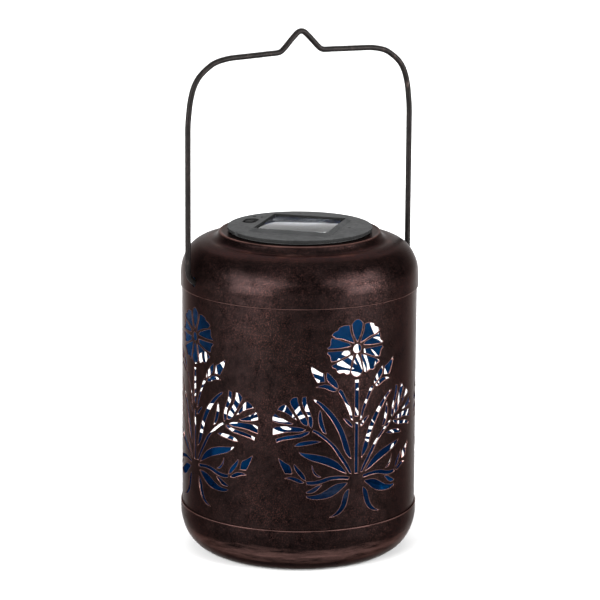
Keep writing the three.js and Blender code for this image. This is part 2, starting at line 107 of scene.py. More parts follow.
BUDS = [
    [(13.4, 67), (12.3, 68.6), (11, 67.8), (9, 64.4), (7, 60), (5, 56.1), (3.8, 52.6), (3.1, 49),
     (2.8, 46.6), (3.9, 47.4), (4.9, 49.3), (5.6, 52), (7, 55.2), (9.2, 60.2), (11, 63.6)],
    [(9.8, 48.7), (8, 48.1), (6, 46.8), (4, 44.8), (3.1, 43.2), (3.3, 42.2), (4.4, 42.7),
     (6.4, 44.7), (8.5, 47)],
    [(32, 85), (28.6, 82.8), (25.2, 80.6), (23.6, 80), (23, 77), (22.7, 74.3), (27.5, 73.9),
     (29.3, 77), (31.3, 81.4)],
    [(21.3, 80.6), (19.8, 79.5), (17, 76.6), (14.7, 73.5), (13.7, 71), (13.8, 69.3), (15.2, 69.9),
     (17.2, 71.5), (19.6, 73.4), (21.2, 75.7), (21.7, 78.5)],
    [(28.4, 70.8), (25, 72.1), (22, 72.4), (19.5, 71.7), (17, 70.2), (14.5, 68), (16, 67.5),
     (19, 68.3), (22.6, 70)],
    [(53.2, 22.6), (49, 19.8), (45.3, 17.3), (44.7, 15.8), (44.2, 12.2), (48.7, 12.3), (50.4, 15.6),
     (52.2, 19.5)],
    [(42.6, 18.9), (40, 15.9), (37.2, 12.8), (35.7, 10.5), (35.2, 7.8), (36.7, 8.5), (39.6, 11.5),
     (41.8, 14.6), (42.7, 17)],
    [(48.8, 9), (45.8, 10), (42.5, 9.8), (40, 8.9), (37.8, 7.5), (36.2, 6.2), (38.2, 5.8),
     (41, 6.7), (44.6, 8.2)],
]
LEAVES = [
    [(30.2, 62.9), (28.3, 62.2), (25, 60.2), (21.5, 57.2), (18, 53.5), (14.6, 49.3), (11.6, 44.5),
     (9, 39), (7, 33.5), (5.3, 28), (4.3, 24), (3.9, 20.8), (6.5, 23.2), (8.8, 26.8), (9.8, 30),
     (11, 34), (13.1, 39.5), (16, 45), (19.5, 50.5), (23, 55), (26.5, 59), (29.5, 61.7)],
    [(25.8, 55.3), (24.9, 53), (24.2, 49), (23.2, 45), (22.2, 41.6), (21.3, 39), (22.8, 39.5),
     (24.8, 42), (26.3, 46), (26.8, 50.6)],
    [(42.5, 31.1), (40, 33.2), (36, 34.3), (32, 34.7), (28, 34.5), (25.2, 33.9), (28, 33),
     (32, 32.2), (36, 31.6), (40, 31.1)],
    [(39.5, 26.9), (35, 26.1), (30, 25.4), (25, 24.3), (20, 22.7), (16, 20.6), (12.5, 17.9),
     (9.5, 14.5), (7, 10.8), (11, 12.6), (16, 15.3), (21, 17.6), (27, 19.9), (32, 21.6), (36, 23.7),
     (38.7, 25.9)],
    [(31, 18.2), (30, 15.4), (28.8, 13.2), (27.2, 11.5), (24.9, 9.8), (26.8, 9.9), (28.8, 11.2),
     (30.2, 13.4), (30.9, 16)],
    [(34.7, -0.3), (31, 1.7), (27.4, 3.7), (24.3, 4.3), (26.6, 1.7), (29.4, -0.5), (32, -1.1),
     (34.2, -1.1)],
    [(34.7, -3), (30, -2.7), (26, -1.8), (22, 0.2), (18, 2.6), (14, 4.2), (10, 4.6), (6.4, 4.3),
     (7.6, 3), (10.5, 0.5), (14, -2.2), (18, -4.2), (23, -5.3), (28, -5.5), (32, -4.9),
     (34.2, -3.9)],
    [(5.2, 0), (5.3, -3), (6, -6.5), (7, -10), (8.7, -13.3), (11.5, -16), (15, -17.6),
     (18.9, -18.1), (15.6, -16.3), (13, -13.8), (11, -10.5), (9.9, -6.5), (9, -3.4), (7.4, -1.2)],
]
CARNATION = [
    [(31.3, 43.3), (32.8, 44.7), (33.3, 47.2), (33.4, 50.2), (34.7, 53.6), (36, 56), (37.2, 59.4),
     (37.6, 62), (37.4, 64.2), (35.1, 64.8), (34.8, 61.5), (33.9, 57.9), (32.4, 54), (31, 50),
     (30.6, 46.5)],
    [(34.3, 45), (36, 45.5), (37.6, 46.7), (38.8, 48.5), (40.1, 51), (41.6, 53.2), (43.1, 56),
     (44.9, 59), (45.6, 61.4), (43.6, 63.8), (40.8, 64.2), (40.5, 61.7), (39.5, 58.4), (38.4, 55.4),
     (36.4, 52.2), (34.7, 49.3), (34, 47)],
    [(41.3, 49.2), (43, 49.9), (45.8, 52.1), (49, 53.9), (53.8, 55.4), (52.2, 57.6), (49.3, 59.3),
     (47.3, 57.8), (45.4, 55.3), (43.8, 53.2), (42.8, 51.4)],
    [(43.6, 46.4), (47, 47.8), (50, 49.3), (53.5, 51.3), (55.5, 52.6), (56.9, 50.9), (56.9, 47.5),
     (52, 46.4), (48, 46), (45, 45.9)],
    [(35.3, 42.3), (38, 43.5), (41, 44), (46, 44.3), (51, 44.3), (55, 43.7), (56.9, 43),
     (56.9, 38.3), (54, 39.1), (50, 40.2), (45, 40.8), (40, 40.9), (37, 41.3)],
    [(32.8, 40.9), (35, 40.9), (38, 39.6), (42, 38.8), (48, 37.8), (52, 36.6), (54.9, 35.4),
     (54.4, 33.2), (51, 34.8), (47, 35.6), (42, 36.5), (38, 37.2), (35, 38.6), (33.3, 39.7)],
]
STEMS = [
    [(30.1, 42.2), (27, 40.8), (23.5, 38.2), (20, 35), (14.9, 30), (11.3, 25), (8.1, 20), (5.1, 15),
     (3.3, 10.7), (4.7, 10.6), (7.5, 15), (10.8, 20), (14.1, 25), (17.4, 30), (21, 33.8), (25, 37),
     (28.5, 39.7), (30.6, 41)],
    [(34.8, 7), (30, 7), (25.5, 7.8), (21, 9.2), (16, 9.7), (11, 9.4), (7, 8.8), (5.1, 8.2),
     (5.6, 6.7), (9, 7.2), (14, 7.6), (19, 7.1), (23, 5.9), (27, 4.9), (31, 4.6), (34.3, 5.1)],
]
HALF_MOTIF = PETALS + BUDS + LEAVES + CARNATION + STEMS
CENTRE_MOTIF = [
    [(0, 99.7), (2.4, 104), (3.8, 109), (4.1, 111.7), (2.2, 113.8), (0, 114.7), (-2.2, 113.8),
     (-4.1, 111.7), (-3.8, 109), (-2.4, 104)],
    [(0, 91.8), (-2.1, 88), (-3.2, 84), (-4.3, 79.6), (-2.9, 77.5), (0, 76.1), (2.9, 77.5), (4.3, 79.6),
     (3.2, 84), (2.1, 88)],
    [(3 * math.sin(a * math.pi / 8), 95 + 3 * math.cos(a * math.pi / 8)) for a in range(16)],
    [(-1.5, 49.6), (0, 49.2), (1.5, 49.6), (1.5, 73.9), (-1.5, 73.9)],
    [(-1.25, 10.3), (1.25, 10.3), (1.25, 44.9), (-1.25, 44.9)],
]


# ---- curves ----
def smooth_closed(points, step, corner=48.0):
    """A curved outline through the points, sharp where it turns by more than corner degrees."""
    p = np.array(points, float)
    n = len(p)
    before, after = p - np.roll(p, 1, 0), np.roll(p, -1, 0) - p
    lb, la = np.linalg.norm(before, axis=1), np.linalg.norm(after, axis=1)
    turn = np.degrees(np.arccos(np.clip((before * after).sum(1) / (lb * la), -1, 1)))
    tangent = before / lb[:, None] * la[:, None] + after / la[:, None] * lb[:, None]
    tangent /= np.linalg.norm(tangent, axis=1)[:, None]
    out = []
    for i in range(n):
        j = (i + 1) % n
        chord = p[j] - p[i]
        length = np.linalg.norm(chord)
        start = tangent[i] * length if turn[i] <= corner else None
        end = tangent[j] * length if turn[j] <= corner else None
        if start is None and end is None:
            start = end = chord
        elif start is None:
            start = 1.5 * chord - 0.5 * end
        elif end is None:
            end = 1.5 * chord - 0.5 * start
        for t in np.arange(0, 1, 1 / max(1, math.ceil(length / step))):
            a, b = t * t * (3 - 2 * t), t * (1 - t) ** 2
            c = -t * t * (1 - t)
            out.append(p[i] * (1 - a) + p[j] * a + start * b + end * c)
    return np.array(out)


def smooth_open(points, step):
    """Points at even steps along a smooth line through the given points."""
    p = np.array(points, float)
    knots = np.concatenate([[0], np.cumsum(np.linalg.norm(np.diff(p, axis=0), axis=1) ** 0.5)])
    slopes = np.gradient(p, knots, axis=0)
    dense = []
    for i in range(len(p) - 1):
        h = knots[i + 1] - knots[i]
        t = np.linspace(0, 1, 24, endpoint=False)[:, None]
        dense.append((2 * t**3 - 3 * t**2 + 1) * p[i] + (t**3 - 2 * t**2 + t) * h * slopes[i]
                     + (-2 * t**3 + 3 * t**2) * p[i + 1] + (t**3 - t**2) * h * slopes[i + 1])
    dense = np.vstack([*dense, p[-1:]])
    along = np.concatenate([[0], np.cumsum(np.linalg.norm(np.diff(dense, axis=0), axis=1))])
    even = np.linspace(0, along[-1], max(2, int(round(along[-1] / step)) + 1))
    return np.stack([np.interp(even, along, dense[:, k]) for k in range(dense.shape[1])], 1)


# ---- meshes ----
def new_object(name, verts, faces, materials, body, sharp=35, wear_and_highlight=None, slots=None):
    """A mesh object from points in millimetres."""
    mesh = bpy.data.meshes.new(name)
    mesh.from_pydata((np.asarray(verts) * MM).tolist(), [], faces)
    mesh.polygons.foreach_set("use_smooth", [True] * len(mesh.polygons))
    for material in materials:
        mesh.materials.append(material)
    if slots is not None:
        mesh.polygons.foreach_set("material_index", slots)
    # The attribute holds real wear and painted highlight together, read as copper colour by the bronze
    # paint.
    if wear_and_highlight is not None:
        attribute = mesh.attributes.new("wear_and_highlight", "FLOAT", "POINT")
        attribute.data.foreach_set("value", np.asarray(wear_and_highlight, np.float32))
    mesh.set_sharp_from_angle(angle=math.radians(sharp))
    mesh.update()
    obj = bpy.data.objects.new(name, mesh)
    bpy.context.scene.collection.objects.link(obj)
    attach(obj, body)
    return obj


def turned(loop, segments):
    """Points and faces of a turned solid, from a closed [radius, z] loop that may touch the axis."""
    verts, faces, rings = [], [], []
    for r, z in loop:
        if r < 1e-6:
            rings.append([len(verts)] * segments)
            verts.append((0, 0, z))
        else:
            rings.append(list(range(len(verts), len(verts) + segments)))
            a = np.arange(segments) * 2 * math.pi / segments
            verts.extend(zip(r * np.sin(a), -r * np.cos(a), np.full(segments, z)))
    for i in range(len(loop)):
        low, high = rings[i], rings[(i + 1) % len(loop)]
        for k in range(segments):
            m = (k + 1) % segments
            corners = list(dict.fromkeys([low[k], low[m], high[m], high[k]]))
            if len(corners) > 2:
                faces.append(corners)
    return verts, faces


def sheet_loop(outer, thickness):
    """A sheet's closed profile: the outer line, then the same line moved inward, run backwards."""
    outer = np.asarray(outer, float)
    along = np.gradient(outer, axis=0)
    along /= np.linalg.norm(along, axis=1)[:, None]
    inward = np.stack([-along[:, 1], along[:, 0]], 1)
    inner = outer + inward * thickness
    inner[outer[:, 0] < 1e-6, 0] = 0
    return np.vstack([outer, inner[::-1]])


def swept(points, radius, sides):
    """Points and faces of a round bar along a line in the XZ plane, with softly rounded ends."""
    p = np.asarray(points, float)
    along = np.gradient(p, axis=0)
    along /= np.linalg.norm(along, axis=1)[:, None]
    across = np.stack([-along[:, 2], np.zeros(len(p)), along[:, 0]], 1)
    verts, rings = [], []
    sizes = np.ones(len(p))
    sizes[0] = sizes[-1] = 0.82
    for centre, side, size in zip(p, across, sizes):
        a = np.arange(sides)[:, None] * 2 * math.pi / sides
        circle = centre + radius * size * (np.cos(a) * side + np.sin(a) * np.array([0, 1, 0]))
        rings.append(list(range(len(verts), len(verts) + sides)))
        verts.extend(circle.tolist())
    faces = []
    for low, high in zip(rings, rings[1:]):
        for k in range(sides):
            m = (k + 1) % sides
            faces.append([low[k], low[m], high[m], high[k]])
    faces.append(rings[0][::-1])
    faces.append(rings[-1])
    return verts, faces


def inside(points, outline):
    """Which points lie inside a closed outline."""
    x, y = points[:, 0], points[:, 1]
    found = np.zeros(len(points), bool)
    for (x0, y0), (x1, y1) in zip(outline, np.roll(outline, -1, 0)):
        crosses = (y0 > y) != (y1 > y)
        with np.errstate(divide="ignore", invalid="ignore"):
            at = x0 + (y - y0) * (x1 - x0) / (y1 - y0)
        found ^= crosses & (x < at)
    return found


def distance(points, outline):
    """Each point's distance from a closed outline."""
    a, b = outline, np.roll(outline, -1, 0)
    ab = b - a
    t = ((points[:, None] - a) * ab).sum(2) / (ab * ab).sum(1)
    near = a + np.clip(t, 0, 1)[..., None] * ab
    return np.linalg.norm(points[:, None] - near, axis=2).min(1)


def outward(outline):
    """Unit direction away from a closed outline's inside, at each of its points."""
    along = np.roll(outline, -1, 0) - np.roll(outline, 1, 0)
    normal = np.stack([along[:, 1], -along[:, 0]], 1) / np.linalg.norm(along, axis=1)[:, None]
    area = np.cross(outline, np.roll(outline, -1, 0)).sum()
    return normal if area > 0 else -normal


def pierced_sheet(name, profile, holes, copies, first, materials, body, radius, across, wear_and_highlight_bands=(),
                  rim=0.5, hole_wear=1.0):
    """A thin sheet turned about Z with holes cut in it.

    profile is its outer [radius, z] line. holes are outlines of [distance round the wall, distance
    along the profile], repeated copies times round the axis from the angle first. The bands after
    the holes are copper bands of (distance along the profile, width, strength): narrow ones are real
    wear on edges and crests, broad ones a painted highlight. rim is how far wear reaches from a hole.
    """
    steps = np.concatenate([[0], np.cumsum(np.linalg.norm(np.diff(profile, axis=0), axis=1))])
    slope = np.gradient(profile, steps, axis=0)
    half = math.pi * radius / copies
    columns = np.linspace(-half, half, across + 1)
    grid = np.stack(np.meshgrid(columns, steps), -1).reshape(-1, 2)
    border = (np.abs(grid[:, 0]) > half - 1e-6) | (grid[:, 1] < 1e-6) | (grid[:, 1] > steps[-1] - 1e-6)
    rings = [o + outward(o) * 0.22 for o in holes] + [o + outward(o) * 0.75 for o in holes]
    extra = np.vstack([grid[~border], *rings])
    gap = np.full(len(extra), 9.0)
    for o in holes:
        close = np.all((extra > o.min(0) - 1) & (extra < o.max(0) + 1), axis=1)
        gap[close] = np.minimum(gap[close], distance(extra[close], o))
        gap[close] = np.where(inside(extra[close], o), 0, gap[close])
    is_ring = np.arange(len(extra)) >= (~border).sum()
    extra = extra[gap > np.where(is_ring, 0.15, 0.4)]
    points, edges = [*grid[border], *extra], []
    for o in holes:
        first_index = len(points)
        points.extend(o)
        edges += [(first_index + i, first_index + (i + 1) % len(o)) for i in range(len(o))]
    flat, _, triangles, *_ = delaunay_2d_cdt([Vector(q) for q in points], edges, [], 0, 1e-7)
    flat, triangles = np.array([v[:] for v in flat]), np.array(triangles)
    centres = flat[triangles].mean(1)
    keep = np.ones(len(triangles), bool)
    wear_and_highlight = np.zeros(len(flat))
    for o in holes:
        close = np.all((centres > o.min(0)) & (centres < o.max(0)), axis=1)
        keep[np.nonzero(close)[0][inside(centres[close], o)]] = False
        close = np.all((flat > o.min(0) - rim) & (flat < o.max(0) + rim), axis=1)
        worn = hole_wear * (1 - np.clip(distance(flat[close], o) / rim, 0, 1))
        wear_and_highlight[close] = np.maximum(wear_and_highlight[close], worn)
    for line, width, strength in wear_and_highlight_bands:
        wear_and_highlight = np.maximum(wear_and_highlight, strength * (1 - np.clip(np.abs(flat[:, 1] - line) / width, 0, 1)))
    triangles = triangles[keep]
    corner, second, third = (flat[triangles[:, k]] for k in range(3))
    spun = np.cross(second - corner, third - corner)
    triangles[spun < 0] = triangles[spun < 0][:, ::-1]

    r = np.interp(flat[:, 1], steps, profile[:, 0])
    z = np.interp(flat[:, 1], steps, profile[:, 1])
    nr = np.interp(flat[:, 1], steps, slope[:, 1])
    nz = -np.interp(flat[:, 1], steps, slope[:, 0])
    outer, normals, tris = [], [], []
    for k in range(copies):
        a = first + 2 * math.pi * k / copies + flat[:, 0] / radius
        outer.append(np.stack([r * np.sin(a), -r * np.cos(a), z], 1))
        normals.append(np.stack([nr * np.sin(a), -nr * np.cos(a), nz], 1))
        tris.append(triangles + k * len(flat))
    outer, normals, tris = np.vstack(outer), np.vstack(normals), np.vstack(tris)
    _, keep_at, same = np.unique(np.round(outer, 4), axis=0, return_index=True, return_inverse=True)
    outer, normals, tris = outer[keep_at], normals[keep_at], same.reshape(-1)[tris]
    wear_and_highlight = np.tile(wear_and_highlight, copies)[keep_at]
    used = np.unique(tris)
    renumber = np.zeros(len(outer), int)
    renumber[used] = np.arange(len(used))
    outer, normals, wear_and_highlight, tris = outer[used], normals[used], wear_and_highlight[used], renumber[tris]
    normals /= np.linalg.norm(normals, axis=1)[:, None]

    n = len(outer)
    inner = outer - normals * SHEET
    directed = np.vstack([tris[:, [0, 1]], tris[:, [1, 2]], tris[:, [2, 0]]])
    code = directed[:, 0] * n + directed[:, 1]
    free = directed[~np.isin(code, directed[:, 1] * n + directed[:, 0])]
    wall_normal = np.zeros((n, 3))
    spans = np.cross(normals[free[:, 0]], outer[free[:, 0]] - outer[free[:, 1]])
    np.add.at(wall_normal, free[:, 0], spans)
    np.add.at(wall_normal, free[:, 1], spans)
    lengths = np.linalg.norm(wall_normal, axis=1)
    wall_normal[lengths > 0] /= lengths[lengths > 0][:, None]
    soft_out = normals + 0.45 * wall_normal
    soft_in = -normals + 0.45 * wall_normal
    walls = np.stack([free[:, 1], free[:, 0], free[:, 0] + n, free[:, 1] + n], 1)
    faces = tris.tolist() + (tris[:, ::-1] + n).tolist() + walls.tolist()
    slots = [0] * len(tris) + [1] * len(tris) + [0] * len(walls)
    obj = new_object(name, np.vstack([outer, inner]), faces, materials, body, 180,
                     np.concatenate([wear_and_highlight, wear_and_highlight]), slots)
    wall = wall_normal[walls[:, :2]]
    loops = np.vstack([soft_out[tris].reshape(-1, 3), soft_in[tris[:, ::-1]].reshape(-1, 3),
                       np.concatenate([wall, wall[:, ::-1]], 1).reshape(-1, 3)])
    loops /= np.linalg.norm(loops, axis=1)[:, None]
    obj.data.normals_split_custom_set(loops.tolist())
    return obj


# ---- materials ----
class Look:
    """One node material, with short calls for the nodes used here. Scales are in millimetres."""

    def __init__(self, name):
        self.material = bpy.data.materials.new(name)
        self.material.use_nodes = True
        self.nodes = self.material.node_tree.nodes
        self.links = self.material.node_tree.links
        self.nodes.clear()
        self.shader = self.nodes.new("ShaderNodeBsdfPrincipled")
        output = self.nodes.new("ShaderNodeOutputMaterial")
        self.links.new(self.shader.outputs[0], output.inputs["Surface"])
        self.place = self.nodes.new("ShaderNodeTexCoord").outputs["Object"]

    def set(self, **values):
        for key, value in values.items():
            self.shader.inputs[key.replace("_", " ")].default_value = value
        return self

    def link(self, source, target):
        self.links.new(source, self.shader.inputs[target] if isinstance(target, str) else target)

    def noise(self, size, detail=3.0, roughness=0.55, stretch=(1, 1, 1)):
        mapping = self.nodes.new("ShaderNodeMapping")
        mapping.inputs["Scale"].default_value = stretch
        self.link(self.place, mapping.inputs["Vector"])
        node = self.nodes.new("ShaderNodeTexNoise")
        node.inputs["Scale"].default_value = 1000 / size
        node.inputs["Detail"].default_value = detail
        node.inputs["Roughness"].default_value = roughness
        self.link(mapping.outputs[0], node.inputs["Vector"])
        return node.outputs["Fac"]

    def ramp(self, source, stops):
        node = self.nodes.new("ShaderNodeValToRGB")
        elements = node.color_ramp.elements
        while len(elements) < len(stops):
            elements.new(0.5)
        for element, (at, value) in zip(elements, stops):
            element.position = at
            element.color = (*value, 1) if isinstance(value, tuple) else (value, value, value, 1)
        self.link(source, node.inputs["Fac"])
        return node.outputs["Color"]

    def math(self, operation, a, b):
        node = self.nodes.new("ShaderNodeMath")
        node.operation = operation
        for socket, value in zip(node.inputs, (a, b)):
            if isinstance(value, (int, float)):
                socket.default_value = value
            else:
                self.link(value, socket)
        return node.outputs[0]

    def mix(self, factor, a, b):
        node = self.nodes.new("ShaderNodeMix")
        node.data_type = "RGBA"
        for socket, value in ((node.inputs[0], factor), (node.inputs[6], a), (node.inputs[7], b)):
            if isinstance(value, (int, float)):
                socket.default_value = value
            elif isinstance(value, tuple):
                socket.default_value = (*value, 1)
            else:
                self.link(value, socket)
        return node.outputs[2]

    def wear_and_highlight(self):
        node = self.nodes.new("ShaderNodeAttribute")
        node.attribute_name = "wear_and_highlight"
        return node.outputs["Fac"]

    def bump(self, *layers):
        """Layers of (height source, depth in millimetres)."""
        normal = None
        for source, depth in layers:
            node = self.nodes.new("ShaderNodeBump")
            node.inputs["Distance"].default_value = depth * MM
            node.inputs["Strength"].default_value = 1
            self.link(source, node.inputs["Height"])
            if normal is not None:
                self.link(normal, node.inputs["Normal"])
            normal = node.outputs[0]
        self.link(normal, "Normal")
        return self


def bronze_paint():
    look = Look("antique_bronze_paint").set(Metallic=0.9, Specular_IOR_Level=0.1,
                                           Specular_Tint=(0.5, 0.46, 0.45, 1))
    fine = look.noise(0.9, 4, 0.7)
    broad = look.noise(30, 4, 0.6)
    cloud = look.noise(7, 5, 0.65)
    base = look.ramp(cloud, [(0.35, (0.0017, 0.001, 0.001)), (0.68, (0.005, 0.003, 0.0029))])
    flecks = look.ramp(look.math("MULTIPLY", look.ramp(fine, [(0.5, 0.0), (0.7, 1.0)]),
                                 look.ramp(broad, [(0.35, 0.25), (0.65, 1.0)])), [(0, 0.0), (1, 0.55)])
    color = look.mix(flecks, base, (0.044, 0.0195, 0.017))
    streaks = look.ramp(look.noise(2.6, 4, 0.7, (0.12, 0.12, 1)), [(0.3, 0.6), (0.65, 1.0)])
    # Copper colour from the attribute: real wear at cut edges, rims and crests, and painted highlight
    # in the broad bands on the lid's top and the pan's curve.
    copper_wear_and_highlight = look.ramp(look.math("MULTIPLY", look.wear_and_highlight(), streaks), [(0.4, 0.0), (0.85, 1.0)])
    color = look.mix(copper_wear_and_highlight, color, (0.085, 0.045, 0.04))
    look.link(color, "Base Color")
    uneven = look.math("ADD", look.math("MULTIPLY", fine, 0.5), look.math("MULTIPLY", cloud, 0.5))
    look.link(look.ramp(uneven, [(0.3, 0.25), (0.7, 0.37)]), "Roughness")
    return look.bump((cloud, 0.05), (fine, 0.012)).material


def blue_paint():
    look = Look("blue_inner_paint").set(Specular_IOR_Level=0.03)
    cloud = look.noise(14, 3, 0.5)
    color = look.ramp(cloud, [(0.3, (0.0007, 0.024, 0.078)), (0.7, (0.0012, 0.042, 0.135))])
    height = look.nodes.new("ShaderNodeSeparateXYZ")
    look.link(look.place, height.inputs[0])
    level = look.math("MULTIPLY", height.outputs["Z"], 1000 / 220)  # 1 at 220 mm, near the lid
    # Painted shade: the blue is darkened below about 130 mm, most near 50 mm high; noise patches lift
    # it back as a painted glow of light.
    shade = look.ramp(level, [(0.0, 0.35), (0.1, 0.25), (0.24, 0.2), (0.42, 0.35), (0.6, 1.0)])
    painted_glow = look.ramp(look.noise(46, 1), [(0.6, 0.0), (0.7, 0.8)])
    shade = look.math("MAXIMUM", shade, painted_glow)
    look.link(look.mix(shade, (0.0006, 0.003, 0.016), color), "Base Color")
    look.link(look.ramp(look.noise(5), [(0.3, 0.25), (0.7, 0.4)]), "Roughness")
    return look.bump((cloud, 0.05), (look.noise(1.5), 0.01)).material


def wire_paint():
    look = Look("bail_wire_paint").set(Metallic=0.3, Specular_IOR_Level=0.05,
                                       Specular_Tint=(0.3, 0.28, 0.27, 1))
    cloud = look.noise(5, 4, 0.65)
    color = look.ramp(cloud, [(0.3, (0.0025, 0.0022, 0.0022)), (0.75, (0.006, 0.0052, 0.005))])
    scuffs = look.ramp(look.noise(2.2, 5, 0.7, (1, 1, 0.3)), [(0.6, 0.0), (0.72, 0.5)])
    look.link(look.mix(scuffs, color, (0.04, 0.028, 0.024)), "Base Color")
    look.link(look.ramp(look.noise(1.6), [(0.3, 0.28), (0.7, 0.46)]), "Roughness")
    return look.bump((look.noise(1.2, 3), 0.03)).material


def plastic(name, dark, light, roughness=(0.55, 0.7), grain=0.35, depth=0.012, shine=0.07):
    look = Look(name).set(Specular_IOR_Level=shine)
    look.link(look.ramp(look.noise(9, 4, 0.6), [(0.3, dark), (0.7, light)]), "Base Color")
    look.link(look.ramp(look.noise(2.5, 4), [(0.3, roughness[0]), (0.7, roughness[1])]), "Roughness")
    return look.bump((look.noise(grain, 2), depth), (look.noise(14, 2), 0.03)).material


def steel():
    look = Look("plated_steel").set(Metallic=1.0)
    tone = look.ramp(look.noise(3, 4), [(0.3, (0.42, 0.42, 0.4)), (0.7, (0.6, 0.6, 0.58))])
    look.link(tone, "Base Color")
    look.link(look.ramp(look.noise(0.8, 4), [(0.3, 0.2), (0.7, 0.38)]), "Roughness")
    return look.bump((look.noise(0.4, 2), 0.008)).material


def epoxy():
    look = Look("panel_epoxy").set(Transmission_Weight=1.0, IOR=1.34)
    haze = look.noise(12, 3)
    look.link(look.ramp(haze, [(0.3, (0.86, 0.9, 0.93)), (0.7, (0.94, 0.96, 0.98))]), "Base Color")
    look.link(look.ramp(haze, [(0.3, 0.04), (0.7, 0.08)]), "Roughness")
    return look.bump((look.noise(18, 2), 0.012)).material


def wafer():
    look = Look("silicon_wafer").set(Specular_IOR_Level=0.0)
    crystal = look.nodes.new("ShaderNodeTexVoronoi")
    crystal.inputs["Scale"].default_value = 1000 / 5.5
    look.link(look.place, crystal.inputs["Vector"])
    tone = look.ramp(crystal.outputs["Color"],
                     [(0.2, (0.0012, 0.0025, 0.011)), (0.8, (0.003, 0.0065, 0.026))])
    look.link(tone, "Base Color")
    look.link(look.ramp(look.noise(2), [(0.3, 0.22), (0.7, 0.36)]), "Roughness")
    return look.bump((look.noise(1.2, 2), 0.006)).material


def lens():
    look = Look("lamp_lens").set(Transmission_Weight=0.85, IOR=1.5)
    tone = look.ramp(look.noise(3), [(0.3, (0.95, 0.9, 0.72)), (0.7, (1.0, 0.97, 0.86))])
    look.link(tone, "Base Color")
    look.link(look.ramp(look.noise(1), [(0.3, 0.1), (0.7, 0.2)]), "Roughness")
    return look.bump((look.noise(1.5), 0.01)).material


def pale_floor():
    look = Look("pale_floor").set(Specular_IOR_Level=0.1)
    length = look.nodes.new("ShaderNodeVectorMath")
    length.operation = "LENGTH"
    look.link(look.place, length.inputs[0])
    # Darker near the lantern, paler far off: painted shade on the floor where the lamps light it most.
    reach = look.math("MULTIPLY", look.math("ADD", length.outputs["Value"], look.noise(400, 2)), 0.3)
    look.link(look.ramp(reach, [(0.2, (0.34, 0.34, 0.34)), (0.8, (0.92, 0.92, 0.92))]), "Base Color")
    look.link(look.ramp(look.noise(90, 2), [(0.3, 0.75), (0.7, 0.9)]), "Roughness")
    return look.material


bronze, blue, wire_look = bronze_paint(), blue_paint(), wire_paint()
black = plastic("black_plastic", (0.006, 0.0062, 0.0064), (0.0125, 0.0128, 0.0131))
dark_plastic = plastic("dark_plastic", (0.012, 0.012, 0.013), (0.024, 0.024, 0.026))
# A near-black copy of the black plastic: painted shade in the switch's recess, on the disc's side, on
# the frame's inner walls and on the switch knob, and the colour of the raised switch marks.
shade_and_mark_look = plastic("painted_shade_and_mark_plastic", (0.0012, 0.0012, 0.0012), (0.003, 0.003, 0.003), (0.7, 0.85))
rubber = plastic("black_rubber", (0.008, 0.008, 0.008), (0.018, 0.018, 0.018), (0.7, 0.85))
board_look = plastic("board_laminate", (0.02, 0.1, 0.04), (0.035, 0.17, 0.06), (0.25, 0.4))
cell_look = plastic("cell_wrap", (0.02, 0.14, 0.05), (0.035, 0.2, 0.08), (0.2, 0.35))
red_look = plastic("red_insulation", (0.3, 0.01, 0.01), (0.42, 0.02, 0.02), (0.35, 0.5))
backing = plastic("panel_backing", (0.006, 0.008, 0.016), (0.01, 0.013, 0.024), (0.5, 0.6), shine=0.0)
ribbon_look = plastic("cell_ribbon_solder", (0.07, 0.07, 0.075), (0.11, 0.11, 0.115), (0.5, 0.6),
                      shine=0.0)
steel_look, epoxy_look, wafer_look, lens_look = steel(), epoxy(), wafer(), lens()

# ---- lantern shell ----
holes = [smooth_closed(o, OUTLINE_STEP) for o in CENTRE_MOTIF]
for outline in HALF_MOTIF:
    smooth = smooth_closed(outline, OUTLINE_STEP)
    holes += [smooth, smooth[::-1] * (-1, 1)]
sleeve_base = sleeve_lo.z
for hole in holes:
    hole[:, 1] += MOTIF_Z - sleeve_base
rows = np.linspace(sleeve_base, sleeve_hi.z, SLEEVE_ROWS)
sleeve = pierced_sheet("drum_sleeve", np.stack([np.full(SLEEVE_ROWS, SLEEVE_R), rows], 1), holes, 4, 0,
                       [bronze, blue], "shell", SLEEVE_R, SLEEVE_COLUMNS, rim=0.7)
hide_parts("body_sleeve")

lid_line = [
    (DRUM_R, LID_RIM), (DRUM_R, LID_RIM + 4), (DRUM_R - 0.05, LID_RIM + 9),
    (DRUM_R - 0.9, LID_RIM + 14.8), (DRUM_R - 3, LID_RIM + 20.1), (DRUM_R - 6.1, LID_RIM + 24.9),
    (DRUM_R - 10.2, LID_RIM + 28.2),
    (DRUM_R - 14.6, LID_RIM + 30), (62, LEDGE - 5.4), (58.8, LEDGE - 4.9), (56.6, LEDGE - 3.7),
    (55.3, LEDGE - 2), (RING_R + 0.5, LEDGE - 0.9), (RING_R - 0.1, LEDGE - 0.15), (RING_R - 0.9, LEDGE),
    (RING_R - 1.7, LEDGE - 0.3), (RING_R - 3, LEDGE - 0.35), (NECK_R + 1.2, LEDGE - 0.35),
    (NECK_R - 0.1, LEDGE - 0.7), (NECK_R - SHEET, LEDGE - 2), (NECK_R - SHEET, LEDGE - 7),
]
lid_profile = smooth_open(lid_line, OUTLINE_STEP)
lid_profile[:, 0] = np.minimum(lid_profile[:, 0], DRUM_R)
lid_steps = np.concatenate([[0], np.cumsum(np.linalg.norm(np.diff(lid_profile, axis=0), axis=1))])
at_hinge = np.interp(HINGE_Z, lid_profile[:60, 1], lid_steps[:60])
at_ring = lid_steps[np.argmin(np.hypot(lid_profile[:, 0] - RING_R, lid_profile[:, 1] - LEDGE))]
turns = np.arange(32) * math.pi / 16
